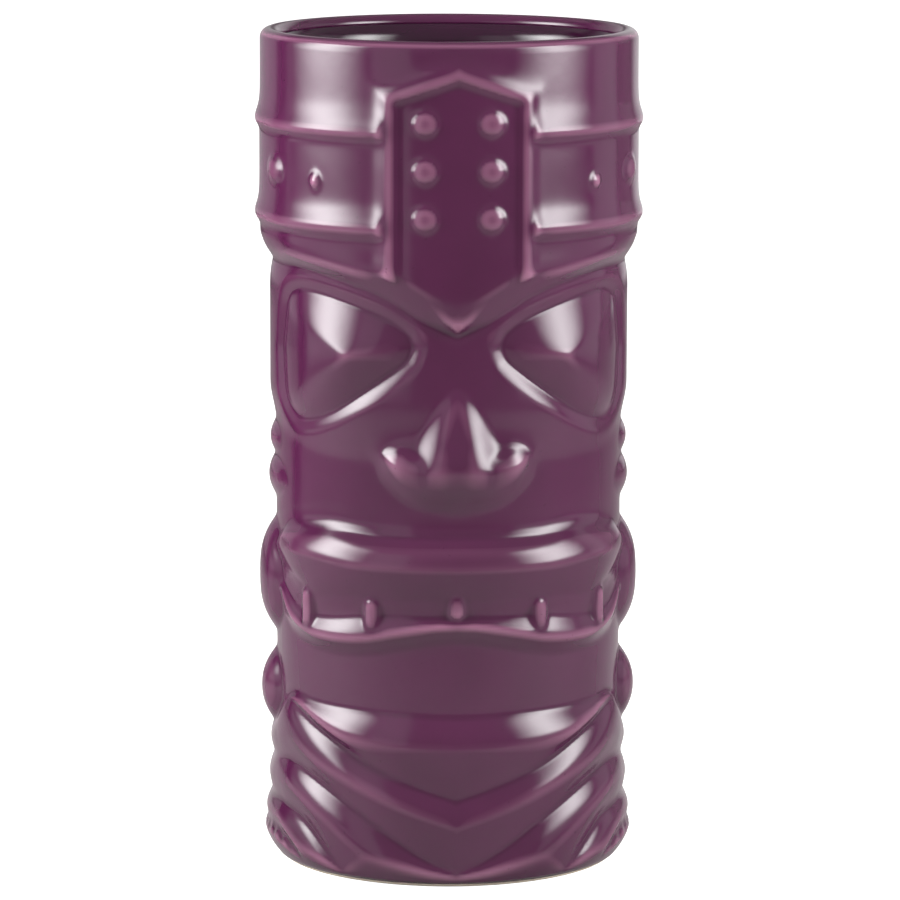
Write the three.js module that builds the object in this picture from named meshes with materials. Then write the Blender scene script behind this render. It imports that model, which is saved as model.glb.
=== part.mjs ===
// Tiki mug: a slip-cast stoneware cylinder whose outside is carved as a stylised face, with its glaze.
// Units are mm, +Z is up, the face looks along -Y and the origin is the centre of the foot's underside.
//
// The relief is drawn on a cylinder of radius SHEET. A point of it has an arc length s from the middle
// of the face and a height z. Both halves of the face mirror each other, so most of it uses a = |s|.
import * as THREE from 'three';

// ---- driving dimensions ----
const HEIGHT = 166.2;
const SHEET = 36; // radius on which arc lengths are measured
const HALF_TURN = Math.PI * SHEET; // arc length at the middle of the back
const SIDE = HALF_TURN / 2; // arc length at each side
const CAP = 37.5; // radius of the collar and headband
const BROW = 35.6; // radius of the wall behind the eyes
const WALL = 34.4; // radius of the wall at the cheeks and chin
const COAT = 0.45; // thickness of the glaze
const GAP = 0.3; // clearance kept between one piece and the next
const FOOT_OUTER = 33.4; // the flat ring that the mug stands on
const FOOT_INNER = 29.6;
const RECESS = 2.2; // height of the hollow inside that ring
const FLOOR = 8; // height of the drinking floor, glaze included
const MOUTH = 33.6; // radius of the opening
const RIM_DROP = 1.9; // depth over which the rim rounds over
const GLAZE_LINE = 0.7; // the glaze stops this far above the foot

// ---- helpers ----
const clamp = (x) => Math.min(Math.max(x, 0), 1);

function smooth(low, high, x) {
  const t = clamp((x - low) / (high - low));
  return t * t * (3 - 2 * t);
}

// The larger of two heights, with a fillet where they meet.
function join(first, second, fillet) {
  const overlap = Math.max(fillet - Math.abs(first - second), 0);
  return Math.max(first, second) + (overlap * overlap) / (4 * fillet);
}

// Cubic between two ends with given slopes.
function hermite(x, x0, y0, slope0, x1, y1, slope1) {
  const span = x1 - x0;
  const t = (x - x0) / span;
  const u = 1 - t;
  return y0 * u * u * (1 + 2 * t) + y1 * t * t * (3 - 2 * t) + span * t * u * (slope0 * u - slope1 * t);
}

// A smooth curve through points in rising order, level beyond both ends.
function curve(...points) {
  const last = points.length - 1;
  const slope = (i) => {
    const [x0, y0] = points[Math.max(i - 1, 0)];
    const [x1, y1] = points[Math.min(i + 1, last)];
    return (y1 - y0) / (x1 - x0);
  };
  return (x) => {
    if (x <= points[0][0]) return points[0][1];
    if (x >= points[last][0]) return points[last][1];
    const i = points.findIndex((point) => point[0] > x);
    const [x0, y0] = points[i - 1];
    const [x1, y1] = points[i];
    return hermite(x, x0, y0, slope(i - 1), x1, y1, slope(i));
  };
}

// The line that runs a given distance below another, measured across it.
function below(line, distance) {
  const step = 0.5;
  return (a) => line(a) - distance * Math.hypot(1, (line(a + step) - line(a)) / step);
}

// ---- lines of the carving: height z against a ----
const capEdge = curve(
  [0, 111.2], [2.4, 113], [4.3, 114.9], [8, 117.6], [13.4, 120.3], [20, 121.5], [30, 123], [45, 124],
);
const capCrease = curve(
  [0, 109.2], [2.5, 110.3], [6.5, 112], [10.5, 114.3], [14.7, 116.5], [19, 118], [25, 119.4],
  [35, 120.8], [45, 120.8],
);
const cheekEnd = curve([0, 85], [30, 84], [50, 88]);
const rollTop = curve(
  [0, 72.5], [13, 73.4], [20, 74.4], [28, 75], [36, 74.4], [44, 71.5], [50.5, 66.5], [57, 69],
);
const lipTop = curve(
  [0, 69.4], [10, 69.4], [18, 69.6], [23, 70], [28, 70.2], [32, 69.9], [38, 69.2], [44, 67.9],
  [48, 65.5], [50.5, 64], [57, 67],
);
const lipCrest = curve([0, 63.7], [20, 64], [34, 64.8], [50, 63.6]);
const lipBottom = curve(
  [0, 57.4], [12, 57.3], [20, 57.6], [28, 56.8], [32, 57], [35.5, 58.2], [39, 59.6], [43, 61.2],
  [47, 62.4], [50.5, 62.9], [57, 61],
);
const toothTop = below(lipBottom, 0.6);
const ledgeBack = curve(
  [0, 53.9], [14, 53.9], [20, 53.6], [25, 52.9], [32, 52.4], [38, 53.2], [43, 56], [47, 59],
  [50.5, 61.6], [57, 56],
);
const lipEdge = curve(
  [0, 52.5], [4, 52.3], [8, 51.6], [12.5, 50.7], [19, 49.4], [27, 48.9], [33, 49.3], [39.5, 51.1],
  [44.5, 54.4], [48, 57.6], [50.5, 60.5], [57, 52],
);
const chinTop = below(lipEdge, 3.6);
const chinEnd = curve(
  [0, 33.9], [18, 34.4], [30, 34.7], [37, 35], [41, 35], [46, 33.4], [50, 30.8], [55, 28.7], [60, 28.3],
);
const bibCrest = curve(
  [0, 27.8], [10, 28], [17, 28.5], [21, 29.1], [26, 30.1], [32.4, 32.2], [36.4, 33.8], [41, 34.4],
  [46, 32.4], [50, 29.7], [55, 27.7],
);
const crease1 = curve(
  [0, 17.5], [7, 19.7], [18.6, 23.9], [27.6, 28.4], [32.2, 30.4], [38, 32.8], [41.7, 33.6], [46, 31.6],
  [50, 28.7], [55, 26.8],
);
const crest2 = curve([0, 12], [10, 15.6], [20, 19.8], [30, 23.6], [40, 27], [46, 26], [55, 23.4]);
const crease2 = curve(
  [0, 3], [5, 4.9], [10, 7.7], [20, 13.8], [30, 18.7], [38, 21.2], [45, 21.7], [55, 20.2],
);
const crest3 = curve([0, -3.5], [10, 1], [20, 6.8], [30, 13.2], [40, 16.7], [55, 16.2]);
const crease3 = curve([0, -13], [10, -8], [20, -1.6], [26, 3.4], [35, 10.3], [45, 12.7]);
const crest4 = curve([0, -20], [20, -9], [30, 0], [36, 5], [45, 9], [55, 9.3]);
const crease4 = curve([0, -27], [20, -14], [30, -3], [36, 3.2], [45, 7.2], [55, 7.4]);

// Each stage of the wall's vertical section: its line, its radius, and the slopes dr/dz above and
// below it. A negative slope faces up and a positive one faces down, so a change of sign is a crease.
const frontToSide = (front, side) => curve([0, front], [30, front], [48, side]);
const mouth = (front, corner) => curve([0, front], [30, front], [48, corner], [52, WALL]);
const level = (value) => () => value;
const STAGES = [
  [level(HEIGHT + 1), level(CAP), 0, 0],
  [level(126), level(CAP), 0, 0],
  [capEdge, curve([0, CAP], [20, CAP], [45, 36.9]), 0.1, 0.45],
  [capCrease, curve([0, 35.2], [20, 35.2], [45, 34.9]), 0.75, -0.3],
  [(a) => Math.min(113, capCrease(a) - 3), level(BROW), 0, 0],
  [level(96), level(BROW), 0, 0],
  [cheekEnd, level(WALL), 0.05, 0],
  [rollTop, level(WALL), 0, 0],
  [lipTop, mouth(35, 34.8), -0.5, -1.1],
  [lipCrest, mouth(37.9, 35.4), -0.12, 0.2],
  [lipBottom, mouth(35.9, 35), 0.45, 0.2],
  [toothTop, mouth(35.9, 34.9), -0.2, 0.3],
  [ledgeBack, mouth(35.4, 34.7), 0.1, -0.35],
  [lipEdge, mouth(36.6, 35.3), -0.15, 0.6],
  [chinTop, level(WALL), 0.3, 0],
  [chinEnd, frontToSide(34.5, 34.1), 0, -0.6],
  [bibCrest, curve([0, 36.8], [22, 36.8], [34, 35.7], [48, 34.6]), -0.04, 0.1],
  [crease1, frontToSide(35, 34.9), 0.25, -0.5],
  [crest2, frontToSide(36.8, 35.7), -0.04, 0.12],
  [crease2, frontToSide(35, 34.9), 0.25, -0.5],
  [crest3, frontToSide(36.9, 36), -0.04, 0.12],
  [crease3, frontToSide(35.2, 35.3), 0.25, -0.55],
  [crest4, frontToSide(36.9, 36.6), -0.04, 0.12],
  [crease4, frontToSide(35.6, 36.2), 0.25, -0.45],
  [level(-40), level(36.6), 0, 0],
];

function section(a, z) {
  let i = 1;
  while (STAGES[i][0](a) > z) i += 1;
  const [line0, radius0, , slope0] = STAGES[i - 1];
  const [line1, radius1, slope1] = STAGES[i];
  return hermite(z, line1(a), radius1(a), slope1, line0(a), radius0(a), slope0);
}

// ---- raised details ----
const dome = (distance, radius, power) => Math.max(1 - (distance / radius) ** power, 0);
// Height of a round hill from its centre out, in its own half-widths.
const mound = (across, up) => Math.max(1 - across ** 2 - up ** 2, 0);

// Two thin cords with a wide hollow above each, and the band between them.
const RIDGES = [148.9, 130];
const BAND = 0.15; // the band stands this proud of the cap

function headband(a, z) {
  const band = BAND * smooth(149.5, 148, z) * smooth(128, 131, z);
  const cords = RIDGES.reduce((sum, ridge) => {
    const above = Math.exp(-((Math.max(z - ridge - 0.5, 0) / 1.8) ** 1.2));
    const under = Math.exp(-((Math.max(ridge - 0.7 - z, 0) / 0.9) ** 1.8));
    return sum + 0.95 * Math.min(above, under);
  }, 0);
  return smooth(13.2, 14.8, a) * (band + cords);
}

// Beads on the band, a small and a large one on each side, front and back.
const BEADS = [
  { across: 29, up: 138.5, wide: 1.4, high: 1.7, proud: 0.8 },
  { across: 42.5, up: 139.6, wide: 3.6, high: 2.9, proud: 0.9 },
];

function beads(a, z) {
  const near = SIDE - Math.abs(a - SIDE);
  return BEADS.reduce((sum, bead) => {
    const hill = mound((near - bead.across) / bead.wide, (z - bead.up) / bead.high);
    return sum + bead.proud * hill ** 0.8;
  }, 0);
}

// The plate on the forehead: a raised panel with six studs, a border, and a soft point.
const STUD_ACROSS = 6.05;
const STUD_HEIGHTS = [150.6, 141.4, 132.2];
const PANEL = 0.35; // the panel stands this proud of the cap
const BORDER = 0.9; // and its border this proud of the panel
const panelFoot = curve([0, 115.8], [4.3, 116.5], [8, 118.4], [12, 121.5]);

function plate(a, z) {
  const top = 0.335 * a + 0.942 * (z - 161);
  const inward = -1 - join(top, a - 13.85, 0.8);
  const edge = capEdge(a);
  const foot = smooth(-0.3, 0.7, z - edge);
  const point = smooth(0, 1, (z - edge) / (panelFoot(a) + 0.8 - edge));
  const border = BORDER * Math.exp(-((Math.max(inward, 0) / 1.2) ** 4) - (Math.max(-inward, 0) / 1.9) ** 2);
  const flank = PANEL * Math.exp(-((Math.max(-inward, 0) / 2.2) ** 1.3));
  const studs = STUD_HEIGHTS.reduce((sum, height) => {
    return sum + 0.9 * dome(Math.hypot(a - STUD_ACROSS, z - height), 2.7, 3.6);
  }, 0);
  return studs + border * foot + (inward > 0 ? PANEL * point : flank * foot);
}

// An eye: a low faceted cone on a teardrop outline, in a socket. Every line from its peak to the
// outline falls the same height.
const eyeTop = curve(
  [9, 107], [10, 109.3], [15, 112.4], [25, 115.3], [34, 116.4], [40, 115.6], [43.4, 112.5], [45.6, 104],
);
const eyeFoot = curve(
  [9, 107], [10.3, 104.3], [20, 97.3], [28, 93], [36, 91], [41, 92], [44.4, 96], [45.6, 104],
);
const EYE = {
  inner: 9,
  outer: 45.6,
  peak: [22, 105],
  ball: 3.4, // height of the peak above the bottom of the socket
  round: 0.3, // 0 is a plain cone and 1 is a parabola
  socket: 1.1, // depth of the socket
  socketEdge: 3.4, // width of the slope down into it
};
const EYE_OUTLINE = [eyeTop, eyeFoot].flatMap((edge) => {
  const steps = 40;
  return Array.from({ length: steps + 1 }, (_, i) => {
    const across = EYE.inner + ((EYE.outer - EYE.inner) * (1 - Math.cos((Math.PI * i) / steps))) / 2;
    return [across, edge(across)];
  });
});
const fromPeak = (a, z) => [a - EYE.peak[0], z - EYE.peak[1]];
const EYE_POLAR = EYE_OUTLINE.map(([a, z]) => {
  const [across, up] = fromPeak(a, z);
  return [Math.atan2(up, across), Math.hypot(across, up)];
}).sort((first, second) => first[0] - second[0]);

// Distance from the peak of an eye to its outline, in a given direction.
function eyeReach(turn) {
  const i = Math.max(EYE_POLAR.findIndex((point) => point[0] > turn), 0);
  const [turn0, reach0] = EYE_POLAR.at(i - 1);
  const [turn1, reach1] = EYE_POLAR[i];
  const full = 2 * Math.PI;
  const part = ((turn - turn0 + full) % full) / ((turn1 - turn0 + full) % full);
  return reach0 + (reach1 - reach0) * part;
}

function eye(a, z) {
  const [across, up] = fromPeak(a, z);
  const part = Math.hypot(across, up) / eyeReach(Math.atan2(up, across));
  if (part < 1) return EYE.ball * (1 - part) * (1 + EYE.round * part) - EYE.socket;
  const distance = Math.min(...EYE_OUTLINE.map((point) => Math.hypot(a - point[0], z - point[1])));
  return -EYE.socket * Math.max(1 - distance / EYE.socketEdge, 0) ** 1.5;
}

// The nose, its wings and the muzzle are one form. Its crest runs across under the nose, and from
// there it falls away to the foot of the muzzle.
const NOSE_TOP = 99;
const NOSE_TIP = 82.7;
const noseLine = curve([81, 4], [83, 4.3], [85.5, 4.1], [89, 3], [94, 1.5], [99, 0]);
const noseCrest = curve([0, 83.3], [4, 83], [7.2, 82.8], [11, 83.6], [13.6, 84.8], [17, 86.6]);
const noseFoot = curve([0, 74], [9.4, 75.9], [14, 78.7], [17, 81], [19.5, 83]);

// Height of the nose, wings and muzzle above their crest.
function noseFront(a, z) {
  const fall = Math.min(Math.max((NOSE_TOP - z) / (NOSE_TOP - NOSE_TIP), 0.001), 1.1);
  const bridge = noseLine(z) * (1 - smooth(2.6 * fall, 1.9 + 11.5 * fall, a));
  const muzzle = 2.4 * Math.max(1 - (a / 19) ** 2, 0) * (1 - smooth(81, 92, z));
  const wing = 1.5 * mound((a - 11.2) / 5.4, (z - 84.1) / 4) ** 1.5;
  return Math.cbrt(bridge ** 3 + muzzle ** 3) + wing;
}

function nose(a, z) {
  const crest = noseCrest(a);
  const part = clamp((crest - z) / (crest - noseFoot(a)));
  const front = noseFront(a, Math.max(z, crest));
  const broad = 4.2 * Math.max(1 - (a / 17) ** 2, 0);
  const spread = smooth(0, 0.8, part);
  return (front * (1 - spread) + broad * spread) * (1 - part) ** 1.5 * (1 + 1.5 * part);
}

// Radius of the four bars that part the teeth, and of the shorter one in the middle.
function toothBars(a, z) {
  const bar = (across, low, high) => {
    const past = Math.max(z - high, low - z, 0);
    return 33 + 3.6 * dome(Math.hypot(a - across, past), 2.6, 3.5);
  };
  return Math.max(bar(0, 55.2, 57.2), bar(17.1, 52.3, 56), bar(33.3, 51.5, 56.2));
}

// Each side carries a large round boss, a small one, and two short rolls above them.
function sideBosses(a, z) {
  const across = a - SIDE;
  const large = 3.6 * dome(Math.hypot(across, z - 57), 11.8, 2.8);
  const small = 3.3 * dome(Math.hypot(across, z - 34), 8.1, 2.2);
  const upperRoll = 1.4 * mound(across / 9, (z - 84.8) / 3.7);
  const lowerRoll = 1.7 * mound(across / 13, (z - 77.2) / 4.6);
  return Math.max(large, small, upperRoll, lowerRoll);
}

// Short upright flutes in the corner under the last crease.
function flutes(a, z) {
  const pitch = 3.6;
  const zone = smooth(0, 1.2, crease4(a) - z) * smooth(36, 40, a);
  return -0.35 * zone * (1 + Math.cos((2 * Math.PI * a) / pitch)) / 2;
}

// Radius of the round heel, up to where it clears the carving.
const HEEL = 8;
const heel = (z) => 33.7 + 3.5 * (1 - (1 - z / HEEL) ** 2.2);

// Radius of the glazed outside.
function relief(s, z) {
  const a = Math.abs(s);
  const wall = section(a, z) + headband(a, z) + beads(a, z) + plate(a, z);
  const carved = Math.max(wall + eye(a, z) + nose(a, z) + flutes(a, z), toothBars(a, z));
  const bossed = join(carved, WALL - 0.2 + sideBosses(a, z), 0.3);
  return z < HEEL ? Math.min(bossed, heel(z)) : bossed;
}

// ---- the grid that every piece is laid on ----
const COLUMNS = [
  0, 2.6, 5, 7.6, 10.4, 12.8, 14.2, 16, 18, 20.5, 24, 28, 32,
  36, 40, 43.5, 46.5, 49.5, 53, 57, 62, 70, 79, 88, 97, 106,
];
const ARCS = [...COLUMNS.slice(1).map((a) => -a).reverse(), ...COLUMNS, HALF_TURN];

// Rows follow the lines of the carving, from the glaze line to where the rim starts to round.
const atLeast = (line, least) => (a) => Math.max(line(a), least);
const between = (line0, line1, part) => (a) => line0(a) * (1 - part) + line1(a) * part;
const ROWS = [
  level(GLAZE_LINE),
  atLeast(crease4, 1.1),
  atLeast(crest4, 1.6),
  atLeast(crease3, 2),
  atLeast(crest3, 2.5),
  crease2,
  between(crease2, crest2, 0.5),
  crest2,
  between(crease1, crest2, 0.3),
  crease1,
  between(crease1, bibCrest, 0.6),
  bibCrest,
  chinEnd,
  between(chinTop, chinEnd, 0.5),
  chinTop,
  lipEdge,
  ledgeBack,
  toothTop,
  lipBottom,
  lipCrest,
  between(lipCrest, lipTop, 0.6),
  lipTop,
  rollTop,
  level(77.6),
  level(80),
  level(82.5),
  level(84.8),
  level(87.5),
  level(90.5),
  level(94),
  level(97.5),
  level(101),
  level(105),
  between(level(105), capCrease, 0.4),
  between(level(105), capCrease, 0.8),
  capCrease,
  capEdge,
  between(capEdge, level(130), 0.7),
  level(130),
  level(132.2),
  level(135.5),
  level(139.6),
  level(142.5),
  level(146.6),
  level(148.9),
  level(151),
  level(156),
  level(HEIGHT - RIM_DROP),
];

const place = (s, radius, z) => {
  const angle = s / SHEET;
  return [radius * Math.sin(angle), -radius * Math.cos(angle), z];
};
const ring = (radius, z) => ARCS.map((s) => place(s, radius, z));
const reliefRing = (line, inset) => ARCS.map((s) => {
  const z = line(Math.abs(s));
  return place(s, relief(s, z) - inset, z);
});

// A solid from a stack of rings. A closed stack is a band round the axis. An open one is capped by
// a point on the axis at each end. Every square splits the same way whichever way its rings run, and
// both halves mirror each other, so that a coat and the clay under it have matching facets.
function ringSolid(rings, closed) {
  const count = ARCS.length;
  const vertices = rings.flat();
  const triangles = [];
  const pairs = closed ? rings.length : rings.length - 1;
  for (let i = 0; i < pairs; i += 1) {
    const lower = i * count;
    const upper = ((i + 1) % rings.length) * count;
    for (let j = 0; j < count; j += 1) {
      const k = (j + 1) % count;
      const rising = vertices[lower + j][2] < vertices[upper + j][2];
      if (rising === (ARCS[j] < 0)) {
        triangles.push(lower + j, lower + k, upper + j, lower + k, upper + k, upper + j);
      } else {
        triangles.push(lower + j, lower + k, upper + k, lower + j, upper + k, upper + j);
      }
    }
  }
  if (!closed) {
    const ends = [[0, rings[0][0][2]], [(rings.length - 1) * count, rings.at(-1)[0][2]]];
    ends.forEach(([start, z], end) => {
      const pole = vertices.push([0, 0, z]) - 1;
      for (let j = 0; j < count; j += 1) {
        const k = (j + 1) % count;
        if (end) triangles.push(pole, start + j, start + k);
        else triangles.push(pole, start + k, start + j);
      }
    });
  }
  const geometry = new THREE.BufferGeometry();
  geometry.setAttribute('position', new THREE.Float32BufferAttribute(vertices.flat(), 3));
  geometry.setIndex(triangles);
  geometry.computeVertexNormals();
  return geometry;
}

// ---- sections shared by the pieces: [radius, height] ----
// Inside of the cup from the top down. The bore narrows behind the face as the cast follows it.
const BORE = [
  [MOUTH, HEIGHT - RIM_DROP - GAP], [33.3, 130], [31.6, 116], [31.3, 70], [30.8, 14], [29.6, 9.8], [26.5, FLOOR],
];
const BORE_WALL = 4; // this many of its points lie on the wall, and the rest on the floor's corner

// Round of the rim, from the outside over the top to the inside, drawn in by an inset.
function rimRound(inset) {
  const middle = (CAP + MOUTH) / 2;
  const half = (CAP - MOUTH) / 2 - inset;
  return [0.16, 0.33, 0.5, 0.67, 0.84, 1].map((part) => {
    const turn = Math.PI * part;
    return [middle + half * Math.cos(turn), HEIGHT - RIM_DROP + (RIM_DROP - inset) * Math.sin(turn)];
  });
}
const rings = (outline) => outline.map(([radius, z]) => ring(radius, z));

// ---- pieces ----
function clayBody() {
  const inset = COAT + GAP;
  const foot = [
    [FOOT_INNER - 1.2, RECESS], [FOOT_INNER - 0.5, 0.5], [FOOT_INNER, 0], [FOOT_OUTER, 0],
    [FOOT_OUTER + 0.2, 0.3],
  ];
  const inside = BORE.map(([radius, z], i) => [radius + inset, i < BORE_WALL ? z : z - inset]);
  return ringSolid([
    ...rings(foot),
    ...ROWS.map((line) => reliefRing(line, inset)),
    ...rings(rimRound(inset)),
    ...rings(inside.slice(1)),
  ]);
}

function outerGlaze() {
  const outside = [...ROWS.map((line) => reliefRing(line, 0)), ...rings(rimRound(0))];
  const backs = [...ROWS.map((line) => reliefRing(line, COAT)), ...rings(rimRound(COAT))];
  return ringSolid([...outside, ...backs.reverse()], true);
}

function innerGlaze() {
  const backs = BORE.map(([radius, z], i) => [radius + COAT, i < BORE_WALL ? z : z - COAT]);
  return ringSolid([...rings(backs).reverse(), ...rings(BORE)]);
}

function baseGlaze() {
  const radius = FOOT_INNER - 1.8;
  const top = RECESS - GAP;
  return ringSolid(rings([[radius, top - COAT], [radius, top]]));
}

function piece(name, geometry, colour, roughness) {
  const material = new THREE.MeshStandardMaterial({ color: colour, roughness, metalness: 0 });
  const mesh = new THREE.Mesh(geometry, material);
  mesh.name = name;
  return mesh;
}

const mug = new THREE.Group();
mug.add(
  piece('clay_body', clayBody(), 0xe6dccb, 0.75),
  piece('outer_glaze', outerGlaze(), 0x5d2f52, 0.12),
  piece('inner_glaze', innerGlaze(), 0x4e2445, 0.12),
  piece('base_glaze', baseGlaze(), 0x5d2f52, 0.15),
);

export default mug;
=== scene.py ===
"""A glazed ceramic tiki mug on a pale studio floor.

The outside is a relief drawn on a cylinder: every point of it has an arc length s from the middle of
the face and a height z, both in mm. Both halves of the face mirror each other, so the carving is a
function of a = |s| and z. It is worked out on a fine lattice, softened as glaze softens clay, and
wrapped round the axis. All meshes are in metres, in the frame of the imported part.
"""

import math

import bpy
import numpy as np
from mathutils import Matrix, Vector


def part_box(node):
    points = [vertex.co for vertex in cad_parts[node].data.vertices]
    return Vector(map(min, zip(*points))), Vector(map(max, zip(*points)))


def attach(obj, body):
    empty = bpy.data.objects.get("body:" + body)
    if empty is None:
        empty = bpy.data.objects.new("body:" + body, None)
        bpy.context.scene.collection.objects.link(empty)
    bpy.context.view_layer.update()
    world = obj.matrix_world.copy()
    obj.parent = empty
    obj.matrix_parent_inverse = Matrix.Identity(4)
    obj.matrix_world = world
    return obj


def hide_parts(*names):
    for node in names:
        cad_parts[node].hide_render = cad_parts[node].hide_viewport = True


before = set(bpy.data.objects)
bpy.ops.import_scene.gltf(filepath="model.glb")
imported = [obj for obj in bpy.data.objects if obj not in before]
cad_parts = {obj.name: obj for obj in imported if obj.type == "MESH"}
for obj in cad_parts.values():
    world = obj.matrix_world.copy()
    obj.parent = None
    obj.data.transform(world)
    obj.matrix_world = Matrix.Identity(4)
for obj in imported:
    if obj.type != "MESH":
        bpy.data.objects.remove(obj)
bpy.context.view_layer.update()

# ---- driving dimensions, mm ----
MM = 0.001
HEIGHT = round(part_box("outer_glaze")[1][2] / MM, 1)
SHEET = 36.0                    # radius on which arc lengths are measured
HALF_TURN = math.pi * SHEET     # arc length at the middle of the back
SIDE = HALF_TURN / 2            # arc length at each side
CAP = 37.5                      # radius of the collar and headband
BROW = 35.6                     # radius of the wall behind the eyes
WALL = 34.4                     # radius of the wall at the cheeks and chin
COAT = 0.45                     # thickness of the glaze
TOUCH = 0.02                    # clearance between a coat and what it touches
FOOT_OUTER = 33.4               # the flat ring that the mug stands on
FOOT_INNER = 29.6
RECESS = 2.2                    # height of the hollow inside that ring
FLOOR = 8.0                     # height of the drinking floor
MOUTH = 33.6                    # radius of the opening
RIM_DROP = 1.9                  # depth over which the rim rounds over
GLAZE_LINE = 0.7                # the glaze stops this far above the foot
HEEL = 8.0                      # the heel rounds in below this height
SOFTENING = 0.38                # how far the glaze rounds off the carving


# ---- curves and blends ----
def smooth(low, high, x):
    t = np.clip((x - low) / (high - low), 0, 1)
    return t * t * (3 - 2 * t)


def join(first, second, fillet):
    """The larger of two heights, with a fillet where they meet."""
    overlap = np.maximum(fillet - np.abs(first - second), 0)
    return np.maximum(first, second) + overlap * overlap / (4 * fillet)


def hermite(x, x0, y0, slope0, x1, y1, slope1):
    """Cubic between two ends with given slopes."""
    span = x1 - x0
    t = (x - x0) / span
    u = 1 - t
    return y0 * u * u * (1 + 2 * t) + y1 * t * t * (3 - 2 * t) + span * t * u * (slope0 * u - slope1 * t)


def curve(*points):
    """A smooth curve through points in rising order, level beyond both ends."""
    xs, ys = np.array(points, float).T
    last = len(xs) - 1
    before = np.maximum(np.arange(last + 1) - 1, 0)
    after = np.minimum(np.arange(last + 1) + 1, last)
    slopes = (ys[after] - ys[before]) / (xs[after] - xs[before])

    def at(x):
        x = np.clip(x, xs[0], xs[-1])
        i = np.clip(np.searchsorted(xs, x, side="right"), 1, last)
        return hermite(x, xs[i - 1], ys[i - 1], slopes[i - 1], xs[i], ys[i], slopes[i])

    return at


def level(value):
    """A line or radius that is the same all round."""
    return lambda a: np.full_like(a, value)


def below(line, distance):
    """The line that runs a given distance below another, measured across it."""
    step = 0.5
    return lambda a: line(a) - distance * np.hypot(1, (line(a + step) - line(a)) / step)


def dome(distance, radius, power):
    """Height of a hill one unit high, which is flatter on top for a higher power."""
    return np.maximum(1 - (distance / radius) ** power, 0)


def mound(across, up):
    """Height of a round hill from its centre out, in its own half-widths."""
    return np.maximum(1 - across ** 2 - up ** 2, 0)


# ---- lines of the carving: height z against a ----
cap_edge = curve((0, 111.2), (2.4, 113), (4.3, 114.9), (8, 117.6), (13.4, 120.3), (20, 121.5), (30, 123),
                 (45, 124))
cap_crease = curve((0, 109.2), (2.5, 110.3), (6.5, 112), (10.5, 114.3), (14.7, 116.5), (19, 118),
                   (25, 119.4), (35, 120.8), (45, 120.8))
cheek_end = curve((0, 85), (30, 84), (50, 88))
roll_top = curve((0, 72.5), (13, 73.4), (20, 74.4), (28, 75), (36, 74.4), (44, 71.5), (50.5, 66.5),
                 (57, 69))
lip_top = curve((0, 69.4), (10, 69.4), (18, 69.6), (23, 70), (28, 70.2), (32, 69.9), (38, 69.2), (44, 67.9),
                (48, 65.5), (50.5, 64), (57, 67))
lip_crest = curve((0, 63.7), (20, 64), (34, 64.8), (50, 63.6))
lip_bottom = curve((0, 57.4), (12, 57.3), (20, 57.6), (28, 56.8), (32, 57), (35.5, 58.2), (39, 59.6),
                   (43, 61.2), (47, 62.4), (50.5, 62.9), (57, 61))
tooth_top = below(lip_bottom, 0.6)
ledge_back = curve((0, 53.9), (14, 53.9), (20, 53.6), (25, 52.9), (32, 52.4), (38, 53.2), (43, 56),
                   (47, 59), (50.5, 61.6), (57, 56))
lip_edge = curve((0, 52.5), (4, 52.3), (8, 51.6), (12.5, 50.7), (19, 49.4), (27, 48.9), (33, 49.3),
                 (39.5, 51.1), (44.5, 54.4), (48, 57.6), (50.5, 60.5), (57, 52))
chin_top = below(lip_edge, 3.6)
chin_end = curve((0, 33.9), (18, 34.4), (30, 34.7), (37, 35), (41, 35), (46, 33.4), (50, 30.8), (55, 28.7),
                 (60, 28.3))
bib_crest = curve((0, 27.8), (10, 28), (17, 28.5), (21, 29.1), (26, 30.1), (32.4, 32.2), (36.4, 33.8),
                  (41, 34.4), (46, 32.4), (50, 29.7), (55, 27.7))
crease_1 = curve((0, 17.5), (7, 19.7), (18.6, 23.9), (27.6, 28.4), (32.2, 30.4), (38, 32.8), (41.7, 33.6),
                 (46, 31.6), (50, 28.7), (55, 26.8))
crest_2 = curve((0, 12), (10, 15.6), (20, 19.8), (30, 23.6), (40, 27), (46, 26), (55, 23.4))
crease_2 = curve((0, 3), (5, 4.9), (10, 7.7), (20, 13.8), (30, 18.7), (38, 21.2), (45, 21.7), (55, 20.2))
crest_3 = curve((0, -3.5), (10, 1), (20, 6.8), (30, 13.2), (40, 16.7), (55, 16.2))
crease_3 = curve((0, -13), (10, -8), (20, -1.6), (26, 3.4), (35, 10.3), (45, 12.7))
crest_4 = curve((0, -20), (20, -9), (30, 0), (36, 5), (45, 9), (55, 9.3))
crease_4 = curve((0, -27), (20, -14), (30, -3), (36, 3.2), (45, 7.2), (55, 7.4))


def brow_top(a):
    """Where the wall behind the eyes begins, under the cap's crease."""
    return np.minimum(113, cap_crease(a) - 3)


def front_to_side(front, side):
    """A radius that changes from the front of the face to its sides."""
    return curve((0, front), (30, front), (48, side))


def mouth(front, corner):
    """A radius that changes towards the mouth's corner and meets the wall beyond it."""
    return curve((0, front), (30, front), (48, corner), (52, WALL))


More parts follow.
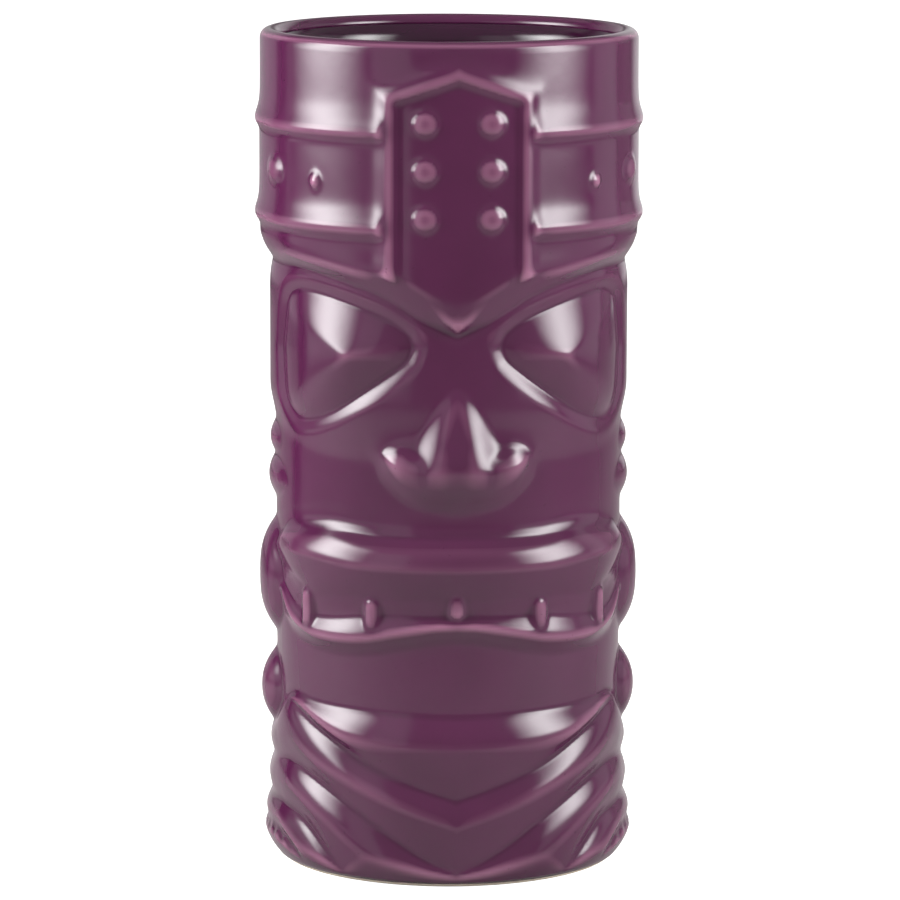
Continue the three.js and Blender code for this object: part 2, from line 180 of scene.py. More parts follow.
# Each stage of the wall's vertical section: its line, its radius, and the slopes dr/dz above and
# below it. A negative slope faces up and a positive one faces down, so a change of sign is a crease.
STAGES = [
    (level(HEIGHT + 1), level(CAP), 0, 0),
    (level(126), level(CAP), 0, 0),
    (cap_edge, curve((0, CAP), (20, CAP), (45, 36.9)), 0.1, 0.45),
    (cap_crease, curve((0, 35.2), (20, 35.2), (45, 34.9)), 0.75, -0.3),
    (brow_top, level(BROW), 0, 0),
    (level(96), level(BROW), 0, 0),
    (cheek_end, level(WALL), 0.05, 0),
    (roll_top, level(WALL), 0, 0),
    (lip_top, mouth(35, 34.8), -0.5, -1.1),
    (lip_crest, mouth(37.9, 35.4), -0.12, 0.2),
    (lip_bottom, mouth(35.9, 35), 0.45, 0.2),
    (tooth_top, mouth(35.9, 34.9), -0.2, 0.3),
    (ledge_back, mouth(35.4, 34.7), 0.1, -0.35),
    (lip_edge, mouth(36.6, 35.3), -0.15, 0.6),
    (chin_top, level(WALL), 0.3, 0),
    (chin_end, front_to_side(34.5, 34.1), 0, -0.6),
    (bib_crest, curve((0, 36.8), (22, 36.8), (34, 35.7), (48, 34.6)), -0.04, 0.1),
    (crease_1, front_to_side(35, 34.9), 0.25, -0.5),
    (crest_2, front_to_side(36.8, 35.7), -0.04, 0.12),
    (crease_2, front_to_side(35, 34.9), 0.25, -0.5),
    (crest_3, front_to_side(36.9, 36), -0.04, 0.12),
    (crease_3, front_to_side(35.2, 35.3), 0.25, -0.55),
    (crest_4, front_to_side(36.9, 36.6), -0.04, 0.12),
    (crease_4, front_to_side(35.6, 36.2), 0.25, -0.45),
    (level(-40), level(36.6), 0, 0),
]


def section(a, z):
    """Radius of the wall, with its creases and ledges but without the raised details."""
    radius = np.full_like(z, CAP)
    for (line0, radius0, _, slope0), (line1, radius1, slope1, _) in zip(STAGES, STAGES[1:]):
        here = z < line0(a)
        part = hermite(z, line1(a), radius1(a), slope1, line0(a), radius0(a), slope0)
        radius = np.where(here, part, radius)
    return radius


# ---- raised details ----
CORDS = (148.9, 130)            # heights of the two headband cords
CORD = 0.95                     # and how proud they stand
BAND = 0.15                     # the band between them stands this proud of the cap


def headband(a, z):
    """Two thin cords with a wide hollow above each, and the band between them."""
    reach = smooth(13.2, 14.8, a)
    band = BAND * smooth(149.5, 148, z) * smooth(128, 131, z)
    for height in CORDS:
        above = np.exp(-(np.maximum(z - height - 0.5, 0) / 1.8) ** 1.2)
        under = np.exp(-(np.maximum(height - 0.7 - z, 0) / 0.9) ** 1.8)
        band = band + CORD * np.minimum(above, under)
    return reach * band


# Beads on the band: arc length from the front or the back, height, half-width, half-height, and how
# proud they stand.
BEADS = [(29.0, 138.5, 1.4, 1.7, 0.8), (42.5, 139.6, 3.6, 2.9, 0.9)]


def beads(a, z):
    """A small and a large bead on each side, front and back."""
    near = SIDE - np.abs(a - SIDE)
    return sum(proud * mound((near - across) / wide, (z - up) / high) ** 0.8
               for across, up, wide, high, proud in BEADS)


STUD_ACROSS = 6.05
STUD_HEIGHTS = (150.6, 141.4, 132.2)
STUD_RADIUS = 2.7
STUD = 0.9                      # how proud the studs stand
PLATE_HALF = 13.85              # half-width, out to the foot of the border
PLATE_PEAK = 161                # height of the top edge's peak, at the same foot
TOP_LEAN = (0.335, 0.942)       # direction straight out from its sloping top edge
PANEL = 0.35                    # the panel stands this proud of the cap
BORDER = 0.9                    # and its border this proud of the panel
panel_foot = curve((0, 115.8), (4.3, 116.5), (8, 118.4), (12, 121.5))


def plate(a, z):
    """The plate on the forehead: a raised panel with six studs, a border, and a soft point."""
    top = TOP_LEAN[0] * a + TOP_LEAN[1] * (z - PLATE_PEAK)
    distance = join(top, a - PLATE_HALF, 0.8)
    inward = -1 - distance
    border = BORDER * np.exp(-(np.maximum(inward, 0) / 1.35) ** 4 - (np.maximum(-inward, 0) / 1.9) ** 2)
    flank = PANEL * np.exp(-(np.maximum(-inward, 0) / 2.2) ** 1.3)
    edge = cap_edge(a)
    point = smooth(0, 1, (z - edge) / (panel_foot(a) + 0.8 - edge))
    foot = smooth(-0.3, 0.7, z - edge)
    studs = 0
    for height in STUD_HEIGHTS:
        away = np.hypot(a - STUD_ACROSS, z - height)
        studs = studs + STUD * dome(away, STUD_RADIUS, 3.6)
    return border * foot + np.where(inward > 0, PANEL * point, flank * foot) + studs


# An eye: a low faceted cone on a teardrop outline, in a socket. Every line from its peak to the
# outline falls the same height.
EYE_INNER = 9.0
EYE_OUTER = 45.6
eye_top = curve((EYE_INNER, 107), (10, 109.3), (15, 112.4), (25, 115.3), (34, 116.4), (40, 115.6),
                (43.4, 112.5), (EYE_OUTER, 104))
eye_foot = curve((EYE_INNER, 107), (10.3, 104.3), (20, 97.3), (28, 93), (36, 91), (41, 92), (44.4, 96),
                 (EYE_OUTER, 104))
EYE_PEAK = (22.0, 105.0)
EYE_BALL = 3.4                  # height of the peak above the bottom of the socket
EYE_ROUND = 0.3                 # 0 is a plain cone and 1 is a parabola
SOCKET = 1.1                    # depth of the socket
SOCKET_EDGE = 3.4               # width of the slope down into it
EYE_TURNS = np.linspace(0, math.pi, 161)
EYE_ACROSS = EYE_INNER + (EYE_OUTER - EYE_INNER) * (1 - np.cos(EYE_TURNS)) / 2
EYE_OUTLINE = np.array([(across, line(across)) for line in (eye_top, eye_foot) for across in EYE_ACROSS])


def eye_reach(turn):
    """Distance from the peak of an eye to its outline, in a given direction."""
    across, up = (EYE_OUTLINE - EYE_PEAK).T
    turns = np.arctan2(up, across)
    order = np.argsort(turns)
    return np.interp(turn, turns[order], np.hypot(across, up)[order], period=2 * math.pi)


def eye(a, z):
    """Height of an eye inside its outline, and outside it of the slope down into the socket."""
    across, up = a - EYE_PEAK[0], z - EYE_PEAK[1]
    part = np.hypot(across, up) / eye_reach(np.arctan2(up, across))
    ball = EYE_BALL * (1 - part) * (1 + EYE_ROUND * part) - SOCKET
    distance = np.full_like(z, 1e3)
    for point in EYE_OUTLINE:
        distance = np.minimum(distance, np.hypot(a - point[0], z - point[1]))
    slope = -SOCKET * np.maximum(1 - distance / SOCKET_EDGE, 0) ** 1.5
    return np.where(part < 1, ball, slope)


# The nose, its wings and the muzzle are one form. Its crest runs across under the nose, and from
# there it falls away to the foot of the muzzle.
NOSE_TOP = 99.0                 # height at which it grows out of the brow
NOSE_TIP = 82.7                 # height at which it is widest
nose_line = curve((81, 4), (83, 4.3), (85.5, 4.1), (89, 3), (94, 1.5), (99, 0))
nose_crest = curve((0, 83.3), (4, 83), (7.2, 82.8), (11, 83.6), (13.6, 84.8), (17, 86.6))
nose_foot = curve((0, 74), (9.4, 75.9), (14, 78.7), (17, 81), (19.5, 83))


def nose_front(a, z):
    """Height of the nose, wings and muzzle above their crest."""
    fall = np.clip((NOSE_TOP - z) / (NOSE_TOP - NOSE_TIP), 0.001, 1.1)
    bridge = nose_line(z) * (1 - smooth(2.2 * fall, 1.9 + 12.2 * fall, a))
    muzzle = 2.4 * np.maximum(1 - (a / 19) ** 2, 0) * (1 - smooth(81, 92, z))
    wing = 1.5 * mound((a - 11.2) / 5.4, (z - 84.1) / 4) ** 1.5
    return (bridge ** 3 + muzzle ** 3) ** (1 / 3) + wing


def nose(a, z):
    """Height of the nose, which falls away from its crest to the foot of the muzzle."""
    crest, foot = nose_crest(a), nose_foot(a)
    part = np.clip((crest - z) / (crest - foot), 0, 1)
    front = nose_front(a, np.maximum(z, crest))
    broad = 4.2 * np.maximum(1 - (a / 17) ** 2, 0)
    spread = smooth(0, 0.8, part)
    return (front * (1 - spread) + broad * spread) * (1 - part) ** 1.5 * (1 + 1.5 * part)


# Bars that part the teeth, with a shorter one in the middle: arc length, and heights of the centres of
# their round ends.
TOOTH_BARS = [(0, 55.2, 57.2), (17.1, 52.3, 56), (33.3, 51.5, 56.2)]
BAR_BACK = 33                   # radius that the bars rise from
BAR = 3.6                       # how far they rise
BAR_HALF = 2.6


def tooth_bars(a, z):
    """Radius of the bars that part the teeth."""
    radius = np.full_like(z, BAR_BACK)
    for across, low, high in TOOTH_BARS:
        past = np.maximum(np.maximum(z - high, low - z), 0)
        bar = BAR_BACK + BAR * dome(np.hypot(a - across, past), BAR_HALF, 3.5)
        radius = np.maximum(radius, bar)
    return radius


# Round bosses on each side: height, radius, how proud they stand, and the power of their dome.
BOSSES = [(57, 11.8, 3.6, 2.8), (34, 8.1, 3.3, 2.2)]
# Short rolls above them: height, half-width, half-height, and how proud they stand.
ROLLS = [(84.8, 9, 3.7, 1.4), (77.2, 13, 4.6, 1.7)]


def side_bosses(a, z):
    """Each side carries a large round boss, a small one, and two short rolls above them."""
    across = a - SIDE
    bosses = [proud * dome(np.hypot(across, z - up), radius, power) for up, radius, proud, power in BOSSES]
    rolls = [proud * mound(across / wide, (z - up) / high) for up, wide, high, proud in ROLLS]
    return np.maximum.reduce(bosses + rolls)


FLUTE_DEPTH = 0.35
FLUTE_PITCH = 3.6


def flutes(a, z):
    """Short upright flutes in the corner under the last crease."""
    zone = smooth(0, 1.2, crease_4(a) - z) * smooth(36, 40, a)
    return -FLUTE_DEPTH * zone * (1 + np.cos(2 * math.pi * a / FLUTE_PITCH)) / 2


def relief(a, z):
    """Radius of the carved outside."""
    wall = section(a, z) + headband(a, z) + beads(a, z) + plate(a, z)
    carved = np.maximum(wall + eye(a, z) + nose(a, z) + flutes(a, z), tooth_bars(a, z))
    bossed = join(carved, WALL - 0.2 + side_bosses(a, z), 0.3)
    heel = 33.7 + 3.5 * (1 - (1 - np.clip(z / HEEL, 0, 1)) ** 2.2)
    return np.where(z < HEEL, np.minimum(bossed, heel), bossed)


# ---- the lattice ----
PITCH = 0.4                     # distance between its points


def blur(field, width):
    """Gaussian blur in both directions, mirrored at the edges."""
    reach = int(3 * width / PITCH) + 1
    taps = np.exp(-0.5 * (np.arange(-reach, reach + 1) * PITCH / width) ** 2)
    taps /= taps.sum()
    for axis in (0, 1):
        pad = [(reach, reach) if i == axis else (0, 0) for i in (0, 1)]
        padded = np.pad(field, pad, mode="reflect")
        count = field.shape[axis]
        field = sum(tap * padded.take(range(i, i + count), axis) for i, tap in enumerate(taps))
    return field


def lowest(field, reach_a, reach_z):
    """The lowest value within a reach of each lattice point."""
    for axis, reach in ((1, reach_a), (0, reach_z)):
        steps = int(math.ceil(reach / PITCH))
        pad = [(steps, steps) if i == axis else (0, 0) for i in (0, 1)]
        padded = np.pad(field, pad, mode="reflect")
        count = field.shape[axis]
        field = np.minimum.reduce([padded.take(range(i, i + count), axis) for i in range(2 * steps + 1)])
    return field


LATTICE_A = np.linspace(0, HALF_TURN, round(HALF_TURN / PITCH) + 1)
LATTICE_Z = np.arange(0, HEIGHT + PITCH, PITCH)


def sample(field, a, z):
    """Bilinear reading of a lattice field."""
    i = np.clip(a / LATTICE_A[1], 0, len(LATTICE_A) - 1.001)
    j = np.clip(z / PITCH, 0, len(LATTICE_Z) - 1.001)
    i0, j0 = i.astype(int), j.astype(int)
    u, v = i - i0, j - j0
    lower = field[j0, i0] * (1 - u) + field[j0, i0 + 1] * u
    upper = field[j0 + 1, i0] * (1 - u) + field[j0 + 1, i0 + 1] * u
    return lower * (1 - v) + upper * v


GRID_A, GRID_Z = np.meshgrid(LATTICE_A, LATTICE_Z)
CARVED = relief(GRID_A, GRID_Z)
RADIUS = blur(CARVED, SOFTENING)
PROUD = RADIUS - blur(RADIUS, 1)        # how far the surface stands out of its surroundings
BACKING = lowest(RADIUS, 1.6, 2.4) - COAT

# ---- the columns and rows of the meshes ----
FACE_END = 64.0                 # arc length up to which the columns are close together
FACE_STEP = 0.5
BACK_STEP = 2.2
ROWS = 269                      # one more than a multiple of 4, as the plain rows are every fourth
RIM_STEPS = 14
PLAIN_RIM_STEPS = 8
FACE_COLUMNS = np.linspace(0, FACE_END, round(FACE_END / FACE_STEP / 2) * 2 + 1)
BACK_COLUMNS = np.linspace(FACE_END, HALF_TURN, round((HALF_TURN - FACE_END) / BACK_STEP / 2) * 2 + 1)
HALF_COLUMNS = np.concatenate([FACE_COLUMNS, BACK_COLUMNS[1:]])
FINE_ARCS = np.concatenate([-HALF_COLUMNS[:0:-1], HALF_COLUMNS[:-1]])
PLAIN_ARCS = FINE_ARCS[::2]
FINE_ROWS = np.linspace(GLAZE_LINE, HEIGHT - RIM_DROP, ROWS)
PLAIN_ROWS = FINE_ROWS[::4]


def ring(arcs, radius, z):
    """Points round the axis, anticlockwise from above."""
    angle = arcs / SHEET
    radius = np.broadcast_to(radius, arcs.shape)
    height = np.broadcast_to(z, arcs.shape)
    return np.stack([radius * np.sin(angle), -radius * np.cos(angle), height], -1)


def rings(arcs, outline):
    """Plain round rings from an outline of (radius, height) points."""
    return [ring(arcs, radius, z) for radius, z in outline]


def relief_rings(arcs, field, rows, inset=0.0):
    """Rings that follow a lattice field, drawn in by an inset."""
    return [ring(arcs, sample(field, np.abs(arcs), np.full_like(arcs, z)) - inset, z) for z in rows]


def rim_round(inset, steps):
    """Round of the rim, from the outside over the top to the inside."""
    middle = (CAP + MOUTH) / 2
    half = (CAP - MOUTH) / 2 - inset
    turns = np.linspace(0, math.pi, steps + 1)[1:]
    return [(middle + half * math.cos(turn), HEIGHT - RIM_DROP + (RIM_DROP - inset) * math.sin(turn))
            for turn in turns]


# Inside of the cup from the top down: (radius, height).
BORE = [(MOUTH, HEIGHT - RIM_DROP - TOUCH), (33.3, 130), (31.6, 116), (31.3, 70), (30.8, 14)]
BOTTOM_ROUND = 6.0
bore_radius = curve(*[(z, radius) for radius, z in reversed(BORE)])


def bore(inset):
    """The cup's inside, drawn out by an inset, from the mouth down to the middle of the floor."""
    corner = BORE[-1][0] - BOTTOM_ROUND
    wall = [(float(bore_radius(z)) + inset, z) for z in np.linspace(BORE[0][1], FLOOR + BOTTOM_ROUND, 40)]
    turns = np.linspace(0, math.pi / 2, 9)[1:]
    round_off = [(corner + (BOTTOM_ROUND + inset) * math.cos(t),
                  FLOOR + BOTTOM_ROUND - (BOTTOM_ROUND + inset) * math.sin(t)) for t in turns]
    return wall + round_off + [(corner / 2, FLOOR - inset)]


# ---- meshes ----
def creases(stack):
    """For every quad between the rings, whether its rising diagonal runs along the local crease."""
    radius = np.array([np.hypot(points[:, 0], points[:, 1]) for points in stack])
    along = np.roll(radius, -1, 1) - 2 * radius + np.roll(radius, 1, 1)
    up = np.zeros_like(radius)
    up[1:-1] = radius[2:] - 2 * radius[1:-1] + radius[:-2]
    bend = along + up
    bend = bend[:-1] + bend[1:] + np.roll(bend[:-1] + bend[1:], -1, 1)
    step = np.roll(radius, -1, 1) - radius
    return bend * (step[1:] - step[:-1]) <= 0


def make_piece(name, stack, node, material, closed=False, facts=None, rising=()):
    """A solid from a stack of rings. A ring with half as many points as the one before it is sewn to
    it. A closed stack is a band round the axis, and an open one is capped on the axis at each end."""
    counts = [len(points) for points in stack]
    starts = np.concatenate([[0], np.cumsum(counts)[:-1]]).astype(int)
    vertices = np.concatenate(stack)
    faces = []
    pairs = list(zip(range(len(stack)), list(range(1, len(stack))) + [0]))
    for lower, upper in pairs if closed else pairs[:-1]:
        n, m = counts[lower], counts[upper]
        j = np.arange(max(n, m))
        k = (j + 1) % max(n, m)
        if n == m:
            a, b, c, d = starts[lower] + j, starts[lower] + k, starts[upper] + k, starts[upper] + j
            first = rising[lower] if lower < len(rising) else np.ones(n, bool)
            faces += np.stack([a, b, np.where(first, c, d)], -1).tolist()
            faces += np.stack([np.where(first, a, b), c, d], -1).tolist()
        elif n > m:
            even = j[::2]
            near, far = starts[upper] + even // 2, starts[upper] + (even // 2 + 1) % m
            faces += np.stack([starts[lower] + even, starts[lower] + even + 1, near], -1).tolist()
            faces += np.stack([starts[lower] + even + 1, starts[lower] + (even + 2) % n, far, near],
                              -1).tolist()
        else:
            even = j[::2]
            near, far = starts[lower] + even // 2, starts[lower] + (even // 2 + 1) % n
            faces += np.stack([near, starts[upper] + even + 1, starts[upper] + even], -1).tolist()
            faces += np.stack([near, far, starts[upper] + (even + 2) % m, starts[upper] + even + 1],
                              -1).tolist()
    if not closed:
        for end, flip in ((0, 1), (len(stack) - 1, -1)):
            pole = len(vertices)
            vertices = np.concatenate([vertices, [[0, 0, stack[end][0][2]]]])
            edge = starts[end] + np.arange(counts[end])
            faces += [[pole, b, a][::flip] for a, b in zip(edge.tolist(), np.roll(edge, -1).tolist())]
    mesh = bpy.data.meshes.new(name)
    mesh.from_pydata((vertices * MM).tolist(), [], faces)
    mesh.polygons.foreach_set("use_smooth", [True] * len(mesh.polygons))
    for fact, values in (facts or {}).items():
        attribute = mesh.attributes.new(fact, "FLOAT", "POINT")
        attribute.data.foreach_set("value", np.pad(values, (0, len(vertices) - len(values))))
    mesh.materials.append(material)
    piece = bpy.data.objects.new(name, mesh)
    bpy.context.scene.collection.objects.link(piece)
    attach(piece, "root")
    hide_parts(node)


# ---- materials ----
def new_material(name):
    """A material with its nodes, its links and its surface shader."""
    material = bpy.data.materials.new(name)
    material.use_nodes = True
    nodes, links = material.node_tree.nodes, material.node_tree.links
    return material, nodes, links, nodes["Principled BSDF"]


def noise(nodes, links, scale, detail=3.0):
    """Noise in the object's own coordinates, so many cells to the metre."""
    where = nodes.new("ShaderNodeTexCoord")
    texture = nodes.new("ShaderNodeTexNoise")
    texture.inputs["Scale"].default_value = scale
    texture.inputs["Detail"].default_value = detail
    links.new(where.outputs["Object"], texture.inputs["Vector"])
    return texture.outputs["Fac"]


def remap(nodes, links, source, low, high, to_low, to_high):
    """A socket's value moved from one range to another, and held within it."""
    node = nodes.new("ShaderNodeMapRange")
    for key, value in zip(("From Min", "From Max", "To Min", "To Max"), (low, high, to_low, to_high)):
        node.inputs[key].default_value = value
    links.new(source, node.inputs["Value"])
    return node.outputs["Result"]


def mix(nodes, links, factor, first, second):
    """Mix of two colours; a colour is a socket or a triple."""
    node = nodes.new("ShaderNodeMix")
    node.data_type = "RGBA"
    for value, socket in ((factor, node.inputs[0]), (first, node.inputs[6]), (second, node.inputs[7])):
        if isinstance(value, bpy.types.NodeSocket):
            links.new(value, socket)
        else:
            socket.default_value = (*value, 1) if isinstance(value, tuple) else value
    return node.outputs[2]


GLAZE = (0.065, 0.0105, 0.043)          # where the coat is of even depth
GLAZE_THIN = (0.26, 0.105, 0.18)        # where it has run off an edge
GLAZE_DEEP = (0.032, 0.004, 0.022)      # where it has pooled
LINER_PAINTED_SHADE = (0.026, 0.003, 0.018)           # inside the cup: darker than the outside glaze, painted shade for the shadowed inside
CLAY_DARK = (0.62, 0.53, 0.42)
CLAY_PALE = (0.78, 0.71, 0.6)
CLAY_STAIN = (0.5, 0.36, 0.3)
# Facts that the outside's points carry: the shade each brings, and the range over which it comes in.
WEAR = [("deep", GLAZE_DEEP, 0.08, 0.4), ("thin", GLAZE_THIN, 0.06, 0.33)]


def glaze_material(name, glaze=GLAZE, worn=True):
    """Glossy coloured glaze: it runs thin and pink off the edges and pools dark in the creases."""
    material, nodes, links, surface = new_material(name)
    clouds = remap(nodes, links, noise(nodes, links, 45.0), 0.3, 0.7, 0.0, 1.0)
    colour = mix(nodes, links, clouds, tuple(0.9 * c for c in glaze), tuple(1.1 * c for c in glaze))
    if worn:
        for fact, shade, low, high in WEAR:
            read = nodes.new("ShaderNodeAttribute")
            read.attribute_name = fact
            amount = remap(nodes, links, read.outputs["Fac"], low, high, 0.0, 1.0)
            colour = mix(nodes, links, amount, colour, shade)
    specks = remap(nodes, links, noise(nodes, links, 900.0, 1.0), 0.74, 0.8, 0.0, 0.35)
    colour = mix(nodes, links, specks, colour, GLAZE_DEEP)
    links.new(colour, surface.inputs["Base Color"])
    rough = remap(nodes, links, noise(nodes, links, 160.0), 0.3, 0.7, 0.14, 0.17)
    links.new(rough, surface.inputs["Roughness"])
    surface.inputs["IOR"].default_value = 1.52
    ripple = nodes.new("ShaderNodeBump")
    ripple.inputs["Strength"].default_value = 0.04
    ripple.inputs["Distance"].default_value = 0.0004
    links.new(noise(nodes, links, 260.0, 2.0), ripple.inputs["Height"])
    links.new(ripple.outputs["Normal"], surface.inputs["Normal"])
    return material


def clay_material():
    """Bare fired stoneware: cream, matte and finely gritty."""
    material, nodes, links, surface = new_material("bare_clay")
    grain = noise(nodes, links, 700.0, 4.0)
    colour = mix(nodes, links, grain, CLAY_DARK, CLAY_PALE)
    stain = remap(nodes, links, noise(nodes, links, 60.0), 0.55, 0.75, 0.0, 0.35)
    colour = mix(nodes, links, stain, colour, CLAY_STAIN)
    links.new(colour, surface.inputs["Base Color"])
    links.new(remap(nodes, links, grain, 0.3, 0.7, 0.6, 0.8), surface.inputs["Roughness"])
    grit = nodes.new("ShaderNodeBump")
    grit.inputs["Strength"].default_value = 0.35
    grit.inputs["Distance"].default_value = 0.0002
    links.new(grain, grit.inputs["Height"])
    links.new(grit.outputs["Normal"], surface.inputs["Normal"])
    return material


# ---- pieces ----
def outer_glaze():
    """The coat on the outside and over the rim, with how thin or deep it lies at every point."""
    outside = relief_rings(FINE_ARCS, RADIUS, FINE_ROWS)
    over = rings(FINE_ARCS, rim_round(0, RIM_STEPS))
    under = rings(PLAIN_ARCS, rim_round(COAT, PLAIN_RIM_STEPS))
    backs = relief_rings(PLAIN_ARCS, BACKING, PLAIN_ROWS)
    stack = outside + over + under[::-1] + backs[::-1]
    arcs = np.abs(FINE_ARCS)
    proud = np.concatenate([sample(PROUD, arcs, np.full_like(arcs, z)) for z in FINE_ROWS])
    over_rim = np.linspace(0, 1, RIM_STEPS + 1)[1:]
    rim = np.repeat(0.24 * np.exp(-((over_rim - 0.2) / 0.09) ** 2), len(FINE_ARCS))
    thin = np.concatenate([np.maximum(proud, 0), rim])
    deep = np.concatenate([np.maximum(-proud, 0), 0 * rim])
    make_piece("glaze_outside", stack, "outer_glaze", glaze_material("outer_glaze"),
               closed=True, facts={"thin": thin, "deep": deep}, rising=creases(outside))


def clay_body():
    """The cast cup: its foot ring, the wall behind the relief, its rim and its inside."""
    inset = COAT + TOUCH
    hollow = FOOT_INNER - 0.8
    foot = [(hollow - 1.2, RECESS), (hollow - 0.4, RECESS - 0.15), (hollow, RECESS - 0.7),
            (hollow + 0.3, 0.6), (FOOT_INNER - 0.2, 0.15), (FOOT_INNER, 0), (FOOT_OUTER, 0),
            (FOOT_OUTER + 0.35, 0.25), (FOOT_OUTER + 0.6, 0.7)]
    stack = rings(PLAIN_ARCS, foot) + relief_rings(PLAIN_ARCS, BACKING, PLAIN_ROWS, TOUCH)
    stack += rings(PLAIN_ARCS, rim_round(inset, PLAIN_RIM_STEPS)) + rings(PLAIN_ARCS, bore(inset)[1:])
    make_piece("clay_cup", stack, "clay_body", clay_material())


def inner_glaze():
    """The inner coat from the rim down over the floor, in a darker colour that is painted shade."""
    stack = rings(PLAIN_ARCS, bore(COAT)[::-1]) + rings(PLAIN_ARCS, bore(0))
    painted_shade_liner = glaze_material("inner_glaze", LINER_PAINTED_SHADE, worn=False)
    make_piece("glaze_inside", stack, "inner_glaze", painted_shade_liner)


def base_glaze():
    """The glaze in the hollow under the cup."""
    radius = FOOT_INNER - 2.2
    top = RECESS - TOUCH
    stack = rings(PLAIN_ARCS, [(radius - 0.3, top - COAT), (radius, top - 0.2), (radius, top)])
    make_piece("glaze_base", stack, "base_glaze", glaze_material("base_glaze", worn=False))


# ---- camera, light and floor ----
VIEW_DISTANCE = 1.0118              # metres
VIEW_HEIGHT = 0.2453
VIEW_TURN = math.radians(2.8)       # the face is turned this much to the viewer's right
VIEW_TILT = math.radians(9.197)
VIEW_ROLL = math.radians(0.14)
LENS = 204.6                        # on a 36 mm sensor


def add_camera():
    camera = bpy.data.objects.new("camera", bpy.data.cameras.new("camera"))
    bpy.context.scene.collection.objects.link(camera)
    camera.data.sensor_width = 36.0
    camera.data.lens = LENS
    camera.data.shift_x = 0.0019
    camera.location = (-VIEW_DISTANCE * math.sin(VIEW_TURN), -VIEW_DISTANCE * math.cos(VIEW_TURN),
                       VIEW_HEIGHT)
    camera.rotation_euler = (math.pi / 2 - VIEW_TILT, 0, -VIEW_TURN)
    camera.rotation_euler.rotate_axis("Z", VIEW_ROLL)
    bpy.context.scene.camera = camera


def new_stage_piece(name, corners, faces, material):
    """A piece of the studio, which is no part of the mug."""
    mesh = bpy.data.meshes.new(name)
    mesh.from_pydata(corners, [], faces)
    mesh.materials.append(material)
    piece = bpy.data.objects.new(name, mesh)
    bpy.context.scene.collection.objects.link(piece)
    return piece


def add_card(name, azimuths, distance, heights, strength, soft_turn=0.0, soft_low=0.0, soft_high=0.0):
    """A glowing card bent round the mug, which fades out towards its edges and which the camera does
    not see. Azimuths are in degrees from the viewer, positive to the right."""
    turns = np.linspace(*azimuths, 25)
    ups = np.linspace(*heights, 25)
    corners, glow = [], []
    for turn in turns:
        angle = math.radians(turn) - VIEW_TURN
        for up in ups:
            corners.append((distance * math.sin(angle), -distance * math.cos(angle), up))
            fade = min(turn - azimuths[0], azimuths[1] - turn) / max(soft_turn, 0.01)
            low = (up - heights[0]) / max(soft_low, 0.001)
            high = (heights[1] - up) / max(soft_high, 0.001)
            glow.append(float(smooth(0, 1, fade) * smooth(0, 1, low) * smooth(0, 1, high)))
    n = len(ups)
    faces = [(i * n + j, (i + 1) * n + j, (i + 1) * n + j + 1, i * n + j + 1)
             for i in range(len(turns) - 1) for j in range(n - 1)]
    material = bpy.data.materials.new(name)
    material.use_nodes = True
    nodes, links = material.node_tree.nodes, material.node_tree.links
    nodes.remove(nodes["Principled BSDF"])
    read = nodes.new("ShaderNodeAttribute")
    read.attribute_name = "glow"
    lamp = nodes.new("ShaderNodeEmission")
    links.new(remap(nodes, links, read.outputs["Fac"], 0, 1, 0, strength), lamp.inputs["Strength"])
    links.new(lamp.outputs["Emission"], nodes["Material Output"].inputs["Surface"])
    card = new_stage_piece(name, corners, faces, material)
    card.data.attributes.new("glow", "FLOAT", "POINT").data.foreach_set("value", glow)
    card.visible_camera = False
    card.visible_shadow = False


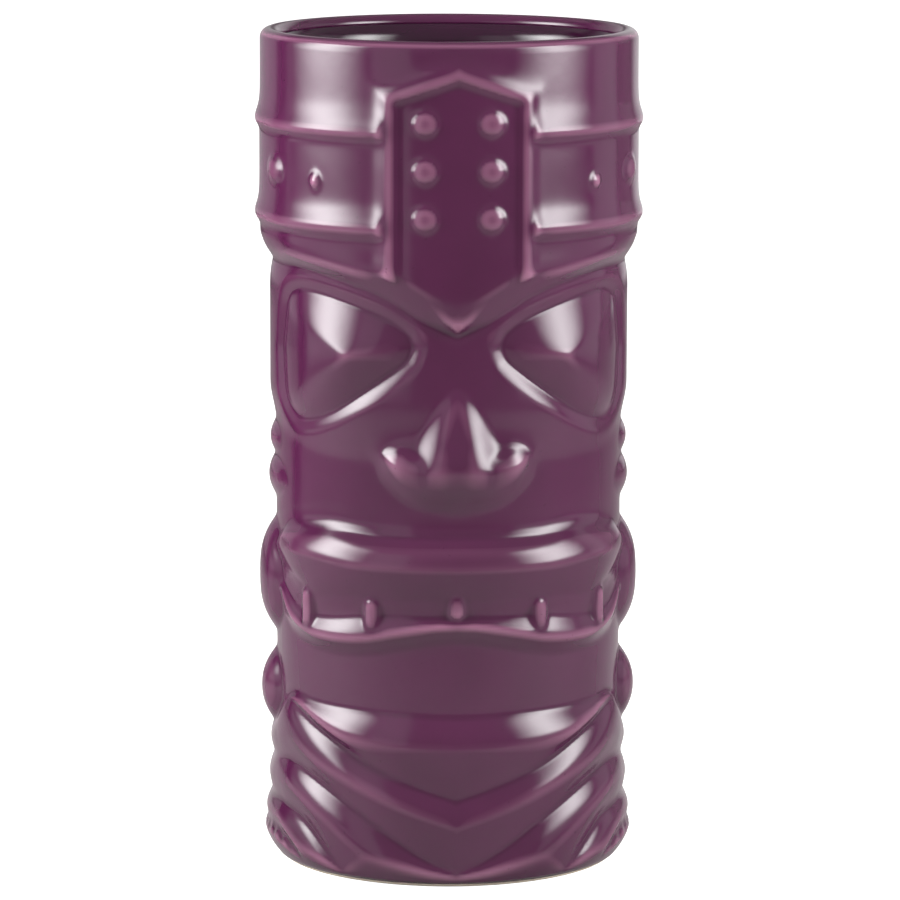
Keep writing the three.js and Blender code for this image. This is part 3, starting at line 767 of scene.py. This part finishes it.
def add_floor():
    """A pale floor, which the camera sees as white."""
    material, nodes, links, surface = new_material("floor")
    surface.inputs["Base Color"].default_value = (0.55, 0.54, 0.53, 1)
    surface.inputs["Roughness"].default_value = 0.9
    path = nodes.new("ShaderNodeLightPath")
    surface.inputs["Emission Color"].default_value = (1, 1, 1, 1)
    links.new(path.outputs["Is Camera Ray"], surface.inputs["Emission Strength"])
    reach = 6.0
    corners = [(-reach, -reach, 0), (reach, -reach, 0), (reach, reach, 0), (-reach, reach, 0)]
    new_stage_piece("floor", corners, [(0, 1, 2, 3)], material)


def add_world():
    """A dim even light, which the camera sees as white like the floor."""
    world = bpy.data.worlds.new("studio")
    bpy.context.scene.world = world
    world.use_nodes = True
    nodes, links = world.node_tree.nodes, world.node_tree.links
    dim, white = nodes["Background"], nodes.new("ShaderNodeBackground")
    dim.inputs["Color"].default_value = (0.39, 0.38, 0.37, 1)
    white.inputs["Color"].default_value = (1, 1, 1, 1)
    seen = nodes.new("ShaderNodeMixShader")
    links.new(nodes.new("ShaderNodeLightPath").outputs["Is Camera Ray"], seen.inputs["Fac"])
    links.new(dim.outputs["Background"], seen.inputs[1])
    links.new(white.outputs["Background"], seen.inputs[2])
    links.new(seen.outputs["Shader"], nodes["World Output"].inputs["Surface"])


outer_glaze()
clay_body()
inner_glaze()
base_glaze()
add_camera()
CARD_TOP = 0.51                     # metres
add_card("box_left", (-108, -46), 0.42, (0.09, CARD_TOP), 15.5, soft_turn=30, soft_low=0.07, soft_high=0.1)
add_card("box_right", (37, 94), 0.42, (0.095, CARD_TOP), 13.5, soft_turn=29, soft_low=0.07, soft_high=0.1)
add_card("spill_left", (-112, -20), 0.44, (0.02, CARD_TOP), 0.9, soft_turn=3, soft_high=0.1)
# The flag is black, so it shows as a dark stripe in the glaze.
add_card("flag_left", (-124, -112), 0.4, (0.0, CARD_TOP), 0.0)
add_card("spill_right", (40, 119), 0.44, (0.02, CARD_TOP), 0.8, soft_turn=3, soft_high=0.1)
add_card("backdrop_left", (180, 238), 0.9, (0.0, 0.8), 0.5, soft_turn=4, soft_high=0.3)
add_card("backdrop_right", (140, 184), 0.9, (0.0, 0.8), 0.85, soft_turn=12, soft_high=0.3)
add_floor()
add_world()
bpy.context.scene.view_settings.view_transform = "Standard"
